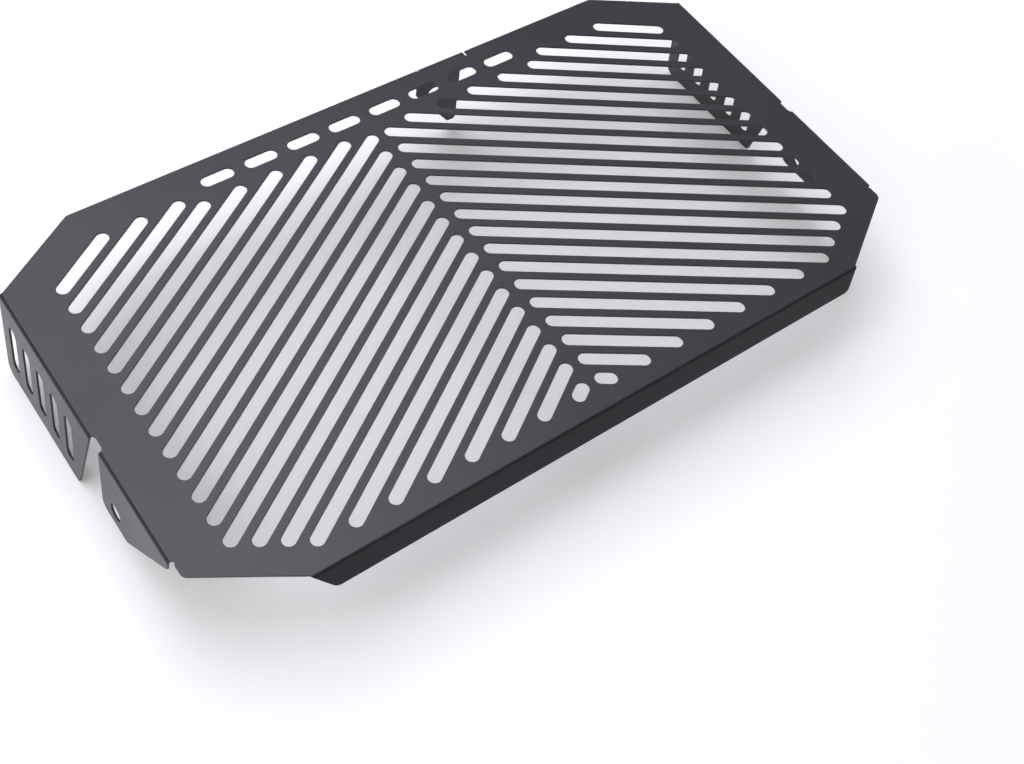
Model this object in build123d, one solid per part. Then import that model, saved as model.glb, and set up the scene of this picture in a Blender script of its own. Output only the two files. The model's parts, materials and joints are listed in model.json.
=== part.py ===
from build123d import *

import os
from math import cos, radians, sin, tan

# Motorcycle radiator guard: one slotted plate, cut and folded from a single steel sheet.
# Millimetres. The plate lies level on top, +X runs along it and +Y points to its back edge.

# Sheet and bends
sheet = 1.0
bend_inner_radius = 1.0

# Plate: its flat part, between the bends of the two side folds
flat_length = 364.8
flat_width = 201.0
corner_cut_length = 39.4
corner_cut_width = 24.4
corner_radius = 3.5

# Chevron of long slots, mirrored about the seam in the middle of the plate
slot_width = 6.0
slot_pitch = 9.7
slot_angle = 32.65
first_slot_inset = 15.7
seam_rib = 5.0
front_margin = 8.7
side_margin = 19.1
corner_margin = 12.3
back_margin = 17.0
shortest_slot = 9.0

# Row of short vents along the back edge
vent_count = 8
vent_length = 16.0
vent_width = 6.0
vent_spacing = 22.0
vent_inset = 12.5
vent_web = 7.0

# Side folds: each straight side edge is shared between a slotted flange and a mounting tab
side_bend_angle = 83.75
flange_share = 0.53
relief_width = 8.0
relief_depth = 0.5
relief_radius = 2.0
end_relief_width = 2.0
plain_end = 6.0

# Slotted flange, measured along the fold and down from the fold line
flange_drop = 50.0
flange_front_slant = 12.8
flange_back_radius = 5.0
flange_front_radius = 3.0
flange_slot_count = 5
flange_slot_width = 6.5
flange_slot_length = 28.0
flange_slot_drop = 12.6
first_flange_slot = 9.9
last_flange_slot = 7.0

# Mounting tab, measured the same way
tab_drop = 34.6
tab_foot_start = 1.6
tab_foot_length = 21.1
tab_nose_drop = 5.4
tab_foot_radius = 5.0
tab_nose_radius = 2.5
tab_hole_diameter = 8.0
tab_hole_inset = 13.2
tab_hole_drop = 25.6

# Front lip, folded down and trimmed at both ends
lip_angle = 53.0
lip_drop = 9.2
lip_end_trim = 8.0
lip_corner_radius = 4.5

# Rear tab, folded square so that its inner face lines up with the back edge, with a slit at each end
rear_bend_angle = 90.0
rear_slit_width = 1.2
rear_slit_depth = 3.0
rear_tab_start = 38.5
rear_tab_width = 25.5
rear_tab_drop = 45.0
rear_tab_shoulder = 18.0
rear_tab_tip = 5.0
rear_tab_radius = 2.0
rear_tab_hole_diameter = 7.0
rear_tab_hole_inset = 10.5
rear_tab_hole_drop = 20.5

# Worked out from the sizes above
bend_outer_radius = bend_inner_radius + sheet
half_length = flat_length / 2
half_width = flat_width / 2
side_edge_end = half_width - corner_cut_width
flange_front = side_edge_end - flange_share * 2 * side_edge_end
flange_foot_front = flange_front + flange_front_slant
tab_back = flange_front - relief_width
tab_front = end_relief_width + plain_end - side_edge_end
rear_bend_start = half_width - bend_inner_radius
fold_overlap = 2 * bend_outer_radius


def rounded_corner(face, place, radius):
    """The face with the corner nearest to a place rounded."""
    return fillet(face.vertices().sort_by_distance(place)[0], radius)


def setback(angle, radius):
    """Distance from the start of a bend to the corner where its two straight faces would meet."""
    return radius * tan(radians(angle / 2))


def folded_strip(corners):
    """Section of bent sheet: its middle line through the corner points, given the sheet's thickness."""
    middle = FilletPolyline(*corners, radius=bend_inner_radius + sheet / 2)
    return trace(middle, line_width=sheet)


def folded_leg(edge, out, angle, outline):
    """Leg folded down along an edge of the flat, cut to an outline drawn on the leg's outer face."""
    upright = Vector(0, 0, 1)
    along = upright.cross(out)
    up_leg = upright * sin(radians(angle)) - out * cos(radians(angle))
    corner = Vector(setback(angle, bend_inner_radius + sheet / 2), -sheet / 2)
    reach = outline.bounding_box().size.Y
    section = folded_strip([
        (-bend_outer_radius, -sheet / 2),
        corner,
        corner + Vector(cos(radians(angle)), -sin(radians(angle))) * reach,
    ])
    strip = extrude(Plane(edge, x_dir=out, z_dir=out.cross(upright)) * section, flat_length, both=True)
    fold_line = edge + out * setback(angle, bend_outer_radius)
    face = Plane(fold_line, x_dir=along, z_dir=along.cross(up_leg))
    return strip & extrude(face * outline, 4 * bend_outer_radius, both=True)


def plate():
    """Flat octagon with its top face at z = 0; the corners that carry no fold are rounded."""
    outline = Polyline(
        (half_length, side_edge_end),
        (half_length - corner_cut_length, half_width),
        (corner_cut_length - half_length, half_width),
        (-half_length, side_edge_end),
        (-half_length, -side_edge_end),
        (corner_cut_length - half_length, -half_width),
        (half_length - corner_cut_length, -half_width),
        (half_length, -side_edge_end),
        close=True,
    )
    face = make_face(outline)
    back_corners = face.vertices().filter_by_position(Axis.Y, half_width, half_width)
    front_corners = face.vertices().filter_by_position(Axis.Y, -side_edge_end, -side_edge_end)
    return extrude(fillet(back_corners + front_corners, corner_radius), -sheet)


def flange_outline():
    """Outline of the slotted flange: upright at the back, slanting at the front."""
    face = make_face(Polyline(
        (side_edge_end, fold_overlap),
        (side_edge_end, -flange_drop),
        (flange_foot_front, -flange_drop),
        (flange_front, -bend_outer_radius),
        (flange_front, fold_overlap),
        close=True,
    ))
    face = rounded_corner(face, (side_edge_end, -flange_drop), flange_back_radius)
    return rounded_corner(face, (flange_foot_front, -flange_drop), flange_front_radius)


def flange_slots():
    """Upright slots of the side flange, spread evenly along its foot."""
    middle = flange_slot_drop + flange_slot_length / 2
    first = side_edge_end - first_flange_slot
    last = flange_foot_front + last_flange_slot
    spacing = (first - last) / (flange_slot_count - 1)
    slot = Rot(0, 0, 90) * SlotOverall(flange_slot_length, flange_slot_width)
    return [Pos(first - index * spacing, -middle) * slot for index in range(flange_slot_count)]


def tab_outline():
    """Outline of the mounting tab: a short foot, then a long slant up to the nose."""
    foot_back = tab_back - tab_foot_start
    foot_front = foot_back - tab_foot_length
    face = make_face(Polyline(
        (tab_back, fold_overlap),
        (tab_back, -bend_outer_radius),
        (foot_back, -tab_drop),
        (foot_front, -tab_drop),
        (tab_front, -tab_nose_drop),
        (tab_front, fold_overlap),
        close=True,
    ))
    face = rounded_corner(face, (foot_back, -tab_drop), tab_foot_radius)
    face = rounded_corner(face, (foot_front, -tab_drop), tab_foot_radius)
    return rounded_corner(face, (tab_front, -tab_nose_drop), tab_nose_radius)


def side_fold():
    """Slotted flange and mounting tab on the right-hand fold."""
    hole = Pos(tab_back - tab_hole_inset, -tab_hole_drop) * Circle(tab_hole_diameter / 2)
    outline = flange_outline() + tab_outline() - flange_slots() - hole
    return folded_leg(Vector(half_length, 0, 0), Vector(1, 0, 0), side_bend_angle, outline)


def side_reliefs():
    """Cutter for the two notches in the right-hand edge, one at each end of the tab's fold."""
    depth = relief_depth + bend_outer_radius
    middle = half_length - relief_depth + depth
    wide = RectangleRounded(2 * depth, relief_width, relief_radius)
    narrow = SlotOverall(2 * depth, end_relief_width)
    notches = Pos(middle, flange_front - relief_width / 2) * wide
    notches += Pos(middle, tab_front - end_relief_width / 2) * narrow
    return extrude(notches, sheet, both=True)


def front_lip():
    """Lip along the front fold, with both ends trimmed and rounded."""
    fold_half = half_length - corner_cut_length
    face = make_face(Polyline(
        (-fold_half, fold_overlap),
        (-fold_half, 0),
        (lip_end_trim - fold_half, -lip_drop),
        (fold_half - lip_end_trim, -lip_drop),
        (fold_half, 0),
        (fold_half, fold_overlap),
        close=True,
    ))
    face = rounded_corner(face, (lip_end_trim - fold_half, -lip_drop), lip_corner_radius)
    face = rounded_corner(face, (fold_half - lip_end_trim, -lip_drop), lip_corner_radius)
    return folded_leg(Vector(0, -half_width, 0), Vector(0, -1, 0), lip_angle, face)


def rear_tab():
    """Tapered tab with a bolt hole, on the back fold; seen from behind, it lies left of the seam."""
    start = -rear_tab_start
    end = start - rear_tab_width
    face = make_face(Polyline(
        (start, fold_overlap),
        (start, -rear_tab_shoulder),
        (end + rear_tab_tip, -rear_tab_drop),
        (end, -rear_tab_drop),
        (end, fold_overlap),
        close=True,
    ))
    face = rounded_corner(face, (start, -rear_tab_shoulder), rear_tab_radius)
    face = rounded_corner(face, (end + rear_tab_tip, -rear_tab_drop), rear_tab_radius)
    face = rounded_corner(face, (end, -rear_tab_drop), rear_tab_radius)
    hole = Pos(start - rear_tab_hole_inset, -rear_tab_hole_drop) * Circle(rear_tab_hole_diameter / 2)
    return folded_leg(Vector(0, rear_bend_start, 0), Vector(0, 1, 0), rear_bend_angle, face - hole)


def rear_notch():
    """Cutter for the back edge: room for the rear tab's bend, and a slit at each end of it."""
    middle = rear_tab_start + rear_tab_width / 2
    slit_offset = (rear_tab_width + rear_slit_width) / 2
    room = Rectangle(rear_tab_width + rear_slit_width, 2 * (half_width - rear_bend_start))
    slit = Rot(0, 0, 90) * SlotOverall(2 * rear_slit_depth, rear_slit_width)
    notch = room + Pos(-slit_offset, 0) * slit + Pos(slit_offset, 0) * slit
    return extrude(Pos(middle, half_width) * notch, sheet, both=True)


def slot_limits(back_limit):
    """Lines that end the right-hand slots: a point on each line and the way out of the slotted field."""
    corner_x = half_length - corner_cut_length
    cut = Vector(corner_cut_width, corner_cut_length).normalized()
    back_corner = Vector(corner_x, half_width) - cut * corner_margin
    front_cut = Vector(cut.X, -cut.Y)
    front_corner = Vector(corner_x, -half_width) - front_cut * corner_margin
    return [
        (Vector(seam_rib / 2, 0), Vector(-1, 0)),
        (Vector(half_length - side_margin, 0), Vector(1, 0)),
        (Vector(0, front_margin - half_width), Vector(0, -1)),
        (Vector(0, back_limit), Vector(0, 1)),
        (back_corner, cut),
        (front_corner, front_cut),
    ]


def clipped_slot(seam_y, back_limit):
    """Inner and outer tip of the slot whose axis meets the seam at seam_y, or None if none is left."""
    start = Vector(0, seam_y)
    way = Vector(cos(radians(slot_angle)), -sin(radians(slot_angle)))
    inner, outer = 0.0, flat_length
    for point, out in slot_limits(back_limit):
        speed = way.dot(out)
        room = (point - start).dot(out)
        if speed > 1e-9:
            outer = min(outer, room / speed)
        elif speed < -1e-9:
            inner = max(inner, room / speed)
        elif room < 0:
            return None
    if outer - inner < shortest_slot:
        return None
    return start + way * inner, start + way * outer


def chevron_slots():
    """Long slots of the right-hand field, from the front corner of the seam to the back corner."""
    vent_limit = half_width - vent_inset - vent_width / 2 - vent_web
    vent_row_end = vent_spacing * (vent_count - 1) / 2 + vent_length / 2 + vent_web
    step = slot_pitch / cos(radians(slot_angle))
    last_seam_y = half_width + half_length * tan(radians(slot_angle))
    seam_y = first_slot_inset - half_width
    slots = []
    while seam_y < last_seam_y:
        tips = clipped_slot(seam_y, half_width - back_margin)
        if tips and tips[0].X < vent_row_end:
            tips = clipped_slot(seam_y, vent_limit)
        if tips:
            slot = SlotOverall((tips[1] - tips[0]).length, slot_width)
            slots.append(Location((tips[0] + tips[1]) / 2, (0, 0, -slot_angle)) * slot)
        seam_y += step
    return slots


def vent_row():
    """Short vents in a straight row, centred on the seam."""
    first = -vent_spacing * (vent_count - 1) / 2
    vent = SlotOverall(vent_length, vent_width)
    return [Pos(first + index * vent_spacing, half_width - vent_inset) * vent for index in range(vent_count)]


def radiator_guard():
    """The folded sheet, with its origin on the ground below the middle of its outline."""
    right_fold = side_fold()
    left_fold = mirror(right_fold, about=Plane.YZ)
    reliefs = side_reliefs()
    right_slots = [extrude(slot, sheet, both=True) for slot in chevron_slots()]
    left_slots = [mirror(slot, about=Plane.YZ) for slot in right_slots]
    vents = [extrude(vent, sheet, both=True) for vent in vent_row()]
    guard = plate() - rear_notch() + rear_tab() + front_lip() + right_fold + left_fold
    guard = guard - reliefs - mirror(reliefs, about=Plane.YZ)
    guard = guard - right_slots - left_slots - vents
    box = guard.bounding_box()
    return Pos(-box.center().X, -box.center().Y, -box.min.Z) * guard


os.makedirs("parts", exist_ok=True)
export_step(radiator_guard().solid(), "parts/radiator_guard.step")
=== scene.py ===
import json
from math import pi, radians

import bpy
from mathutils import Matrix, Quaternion, Vector

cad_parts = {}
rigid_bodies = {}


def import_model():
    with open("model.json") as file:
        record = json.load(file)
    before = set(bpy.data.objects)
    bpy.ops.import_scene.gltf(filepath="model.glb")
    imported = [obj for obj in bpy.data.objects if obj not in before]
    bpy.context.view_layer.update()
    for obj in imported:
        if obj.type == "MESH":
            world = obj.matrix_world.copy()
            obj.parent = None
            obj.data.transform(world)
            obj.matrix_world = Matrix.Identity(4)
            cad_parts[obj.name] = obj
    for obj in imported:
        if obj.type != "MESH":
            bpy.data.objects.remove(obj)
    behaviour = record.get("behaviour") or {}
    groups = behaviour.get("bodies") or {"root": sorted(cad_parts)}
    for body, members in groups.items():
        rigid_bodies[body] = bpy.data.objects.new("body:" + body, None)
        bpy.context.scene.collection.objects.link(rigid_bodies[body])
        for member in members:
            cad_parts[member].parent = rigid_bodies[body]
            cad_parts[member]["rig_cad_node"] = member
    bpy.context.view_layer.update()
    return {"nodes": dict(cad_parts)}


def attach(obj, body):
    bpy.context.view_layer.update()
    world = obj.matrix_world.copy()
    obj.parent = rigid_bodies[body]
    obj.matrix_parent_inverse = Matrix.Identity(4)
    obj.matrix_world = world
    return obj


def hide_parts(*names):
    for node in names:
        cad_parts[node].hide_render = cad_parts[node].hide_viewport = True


# Motorcycle radiator guard: one slotted and folded sheet in satin black powder coat

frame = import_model()
scene = bpy.context.scene

# Sheet: lengths in metres, angles in radians
MERGE_DISTANCE = 1e-6
FLAT_ANGLE = radians(0.5)
EDGE_ANGLE = radians(40.0)
EDGE_ROUND = 0.0002
EDGE_STEPS = 2

# Powder coat: noise scales per metre, bump depths in metres
PEBBLE_SCALE = 2400.0
PEBBLE_DETAIL = 2.0
PEBBLE_DEPTH = 0.00003
PEEL_SCALE = 420.0
PEEL_DETAIL = 1.0
PEEL_DEPTH = 0.00002
CLOUD_SCALE = 14.0
CLOUD_DETAIL = 3.0
CLOUD_RANGE = (0.3, 0.7)
CLOUD_SHARE = 0.5
TONE_RANGE = (0.35, 0.65)
COAT_DARK = (0.0096, 0.0094, 0.0099, 1.0)
COAT_LIGHT = (0.0152, 0.0149, 0.0157, 1.0)
COAT_SPECULAR_TINT = (0.94, 0.885, 1.0, 1.0)
COAT_ROUGHNESS = (0.36, 0.43)
COAT_IOR = 1.6

# Lamps: a ceiling panel and a softbox on each side, in metres and degrees
CEILING = dict(
    place=(-0.26, 1.12, 2.4), aim=(-0.26, 1.12, 0.0), roll=-20.0,
    width=2.5, depth=2.95, radiance=3.0, colour=(0.94, 0.925, 1.0),
)
LEFT = dict(
    place=(-1.17, -0.29, 1.34), aim=(0.0, 0.0, 0.0), roll=0.0,
    width=1.15, depth=1.15, radiance=2.4, colour=(1.0, 1.0, 1.0),
)
RIGHT = dict(
    place=(1.48, 0.4, 1.29), aim=(0.0, 0.0, 0.0), roll=0.0,
    width=2.0, depth=1.2, radiance=0.55, colour=(1.0, 1.0, 1.0),
)
LAMP_AXIS = (0.0, 0.0, 1.0)

# Surround: its level, and the level along the horizon up to a height given as a sine
SURROUND_COLOUR = (1.0, 1.0, 1.0, 1.0)
SURROUND = 0.07
HORIZON = 1.0
HORIZON_HEIGHT = (0.04, 0.07)
FADE_IN = (0.0, 1.0)
FADE_OUT = (1.0, 0.0)

# Paper floor, in metres: painted light, a glow seen directly that grows from the first to the second value
# over the reach; it lightens the paper's shade near the part and makes it plain white far off
PAPER_COLOUR = (0.90, 0.90, 0.905, 1.0)
PAPER_ROUGHNESS = 1.0
PAPER_SPECULAR = 0.0
PAPER_PAINTED_GLOW = (0.19, 1.0)
PAPER_REACH = (0.3, 2.4)
PAPER_SIZE = 80.0
PAPER_GAP = 0.0002

# Camera: the photo's view, from the front left and well above the plate; metres, degrees, and lens in mm
CAMERA_PLACE = (-0.252434, -0.290749, 0.514913)
CAMERA_TURN = (33.7117, -6.3078, -35.7245)
CAMERA_LENS = 47.926
CAMERA_CLIP = (0.01, 100.0)
SENSOR_WIDTH = 36.0


def deselect():
    """Nothing selected, so that the next operator acts only on what it is given."""
    bpy.ops.object.select_all(action="DESELECT")


def make_active(piece):
    """Only this piece selected and active."""
    deselect()
    piece.select_set(True)
    bpy.context.view_layer.objects.active = piece


def noise(tree, vector, scale, detail):
    """Noise texture on the coordinates it is given."""
    texture = tree.nodes.new("ShaderNodeTexNoise")
    texture.inputs["Scale"].default_value = scale
    texture.inputs["Detail"].default_value = detail
    tree.links.new(vector, texture.inputs["Vector"])
    return texture.outputs["Fac"]


def bump(tree, height, depth, below=None):
    """Bump of a given depth, laid over another one if there is one."""
    node = tree.nodes.new("ShaderNodeBump")
    node.inputs["Strength"].default_value = 1.0
    node.inputs["Distance"].default_value = depth
    tree.links.new(height, node.inputs["Height"])
    if below:
        tree.links.new(below, node.inputs["Normal"])
    return node.outputs["Normal"]


def combine(tree, operation, first, second):
    """Math node on two outputs."""
    node = tree.nodes.new("ShaderNodeMath")
    node.operation = operation
    tree.links.new(first, node.inputs[0])
    tree.links.new(second, node.inputs[1])
    return node.outputs[0]


def remap(tree, value, source, target):
    """Map range node, from one range to another, held at its ends."""
    node = tree.nodes.new("ShaderNodeMapRange")
    node.inputs["From Min"].default_value = source[0]
    node.inputs["From Max"].default_value = source[1]
    node.inputs["To Min"].default_value = target[0]
    node.inputs["To Max"].default_value = target[1]
    tree.links.new(value, node.inputs["Value"])
    return node.outputs["Result"]


def seen_directly(tree):
    """1 for a ray from the camera, off a glossy surface or through a clear one, and 0 for any other."""
    ray = tree.nodes.new("ShaderNodeLightPath").outputs
    seen = combine(tree, "MAXIMUM", ray["Is Camera Ray"], ray["Is Glossy Ray"])
    return combine(tree, "MAXIMUM", seen, ray["Is Transmission Ray"])


def powder_coat():
    """Satin black coat: fine pebbles on a slight orange peel, a little cloudy in colour and gloss."""
    material = bpy.data.materials.new("black_powder_coat")
    material.use_nodes = True
    tree = material.node_tree
    shader = tree.nodes["Principled BSDF"]
    place = tree.nodes.new("ShaderNodeTexCoord").outputs["Object"]
    pebble = noise(tree, place, PEBBLE_SCALE, PEBBLE_DETAIL)
    peel = noise(tree, place, PEEL_SCALE, PEEL_DETAIL)
    cloud = noise(tree, place, CLOUD_SCALE, CLOUD_DETAIL)

    tone = tree.nodes.new("ShaderNodeMix")
    tone.data_type = "FLOAT"
    tone.inputs["Factor"].default_value = CLOUD_SHARE
    tree.links.new(pebble, tone.inputs["A"])
    tree.links.new(cloud, tone.inputs["B"])
    tint = tree.nodes.new("ShaderNodeValToRGB")
    tint.color_ramp.elements[0].position = TONE_RANGE[0]
    tint.color_ramp.elements[0].color = COAT_DARK
    tint.color_ramp.elements[1].position = TONE_RANGE[1]
    tint.color_ramp.elements[1].color = COAT_LIGHT
    tree.links.new(tone.outputs["Result"], tint.inputs["Fac"])
    tree.links.new(tint.outputs["Color"], shader.inputs["Base Color"])

    tree.links.new(remap(tree, cloud, CLOUD_RANGE, COAT_ROUGHNESS), shader.inputs["Roughness"])

    peel_normal = bump(tree, peel, PEEL_DEPTH)
    tree.links.new(bump(tree, pebble, PEBBLE_DEPTH, peel_normal), shader.inputs["Normal"])
    shader.inputs["IOR"].default_value = COAT_IOR
    shader.inputs["Specular Tint"].default_value = COAT_SPECULAR_TINT
    return material


def paper():
    """White matt paper with painted light: looked at directly, it glows a little lighter, which lightens
    its shade near the part, and plain white far off.
    """
    material = bpy.data.materials.new("floor_paper")
    material.use_nodes = True
    tree = material.node_tree
    shader = tree.nodes["Principled BSDF"]
    shader.inputs["Base Color"].default_value = PAPER_COLOUR
    shader.inputs["Emission Color"].default_value = PAPER_COLOUR
    shader.inputs["Roughness"].default_value = PAPER_ROUGHNESS
    shader.inputs["Specular IOR Level"].default_value = PAPER_SPECULAR

    distance = tree.nodes.new("ShaderNodeVectorMath")
    distance.operation = "LENGTH"
    tree.links.new(tree.nodes.new("ShaderNodeTexCoord").outputs["Object"], distance.inputs[0])
    # Painted light: the paper glows for direct rays, more with distance from the part
    painted_glow = remap(tree, distance.outputs["Value"], PAPER_REACH, PAPER_PAINTED_GLOW)
    tree.links.new(combine(tree, "MULTIPLY", seen_directly(tree), painted_glow), shader.inputs["Emission Strength"])
    return material


def guard_sheet():
    """The folded sheet: a merged copy of its solid, with every cut edge rounded over by the coat."""
    node = frame["nodes"]["radiator_guard"]
    make_active(node)
    bpy.ops.object.duplicate()
    sheet = bpy.context.object
    sheet.name = "guard_sheet"
    # The copy is a new piece, so it doesn't keep the mark of the CAD node
    del sheet["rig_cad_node"]

    bpy.ops.object.mode_set(mode="EDIT")
    bpy.ops.mesh.select_all(action="SELECT")
    bpy.ops.mesh.remove_doubles(threshold=MERGE_DISTANCE)
    bpy.ops.mesh.dissolve_limited(angle_limit=FLAT_ANGLE)
    bpy.ops.object.mode_set(mode="OBJECT")

    rounding = sheet.modifiers.new("edge_round", "BEVEL")
    rounding.limit_method = "ANGLE"
    rounding.angle_limit = EDGE_ANGLE
    rounding.width = EDGE_ROUND
    rounding.segments = EDGE_STEPS
    rounding.use_clamp_overlap = False
    bpy.ops.object.modifier_apply(modifier=rounding.name)
    bpy.ops.object.shade_smooth_by_angle(angle=EDGE_ANGLE)
    evened = sheet.modifiers.new("flat_faces_even", "WEIGHTED_NORMAL")
    evened.keep_sharp = True
    bpy.ops.object.modifier_apply(modifier=evened.name)

    sheet.data.materials.clear()
    sheet.data.materials.append(powder_coat())
    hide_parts("radiator_guard")
    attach(sheet, "root")


def add_floor():
    """Level paper just under the part's lowest edge."""
    deselect()
    bpy.ops.mesh.primitive_plane_add(size=PAPER_SIZE, location=(0.0, 0.0, -PAPER_GAP))
    floor = bpy.context.object
    floor.name = "floor"
    floor.data.materials.append(paper())


def add_softbox(name, place, aim, roll, width, depth, radiance, colour):
    """Flat lamp of an even brightness, facing a point and rolled about that line."""
    facing = (Vector(aim) - Vector(place)).to_track_quat("-Z", "Y")
    turn = (facing @ Quaternion(LAMP_AXIS, radians(roll))).to_euler()
    deselect()
    bpy.ops.object.light_add(type="AREA", location=place, rotation=turn)
    light = bpy.context.object
    light.name = name
    light.data.shape = "RECTANGLE"
    light.data.size = width
    light.data.size_y = depth
    light.data.color = colour
    light.data.energy = radiance * pi * width * depth


def add_surround():
    """Dim, even grey; looked at directly, it is white along the horizon."""
    world = bpy.data.worlds.new("studio")
    world.use_nodes = True
    tree = world.node_tree
    height = tree.nodes.new("ShaderNodeSeparateXYZ")
    tree.links.new(tree.nodes.new("ShaderNodeTexCoord").outputs["Generated"], height.inputs[0])
    horizon = remap(tree, height.outputs["Z"], HORIZON_HEIGHT, FADE_OUT)
    white = combine(tree, "MULTIPLY", seen_directly(tree), horizon)
    glow = tree.nodes["Background"]
    glow.inputs["Color"].default_value = SURROUND_COLOUR
    tree.links.new(remap(tree, white, FADE_IN, (SURROUND, HORIZON)), glow.inputs["Strength"])
    scene.world = world


def add_camera():
    """The photo's view of the guard."""
    deselect()
    bpy.ops.object.camera_add(location=CAMERA_PLACE, rotation=[radians(a) for a in CAMERA_TURN])
    camera = bpy.context.object
    camera.name = "photo_view"
    camera.data.lens = CAMERA_LENS
    camera.data.sensor_width = SENSOR_WIDTH
    camera.data.clip_start = CAMERA_CLIP[0]
    camera.data.clip_end = CAMERA_CLIP[1]
    scene.camera = camera


guard_sheet()
add_floor()
add_softbox("ceiling_panel", **CEILING)
add_softbox("left_softbox", **LEFT)
add_softbox("right_softbox", **RIGHT)
add_surround()
add_camera()

scene.view_settings.view_transform = "Standard"
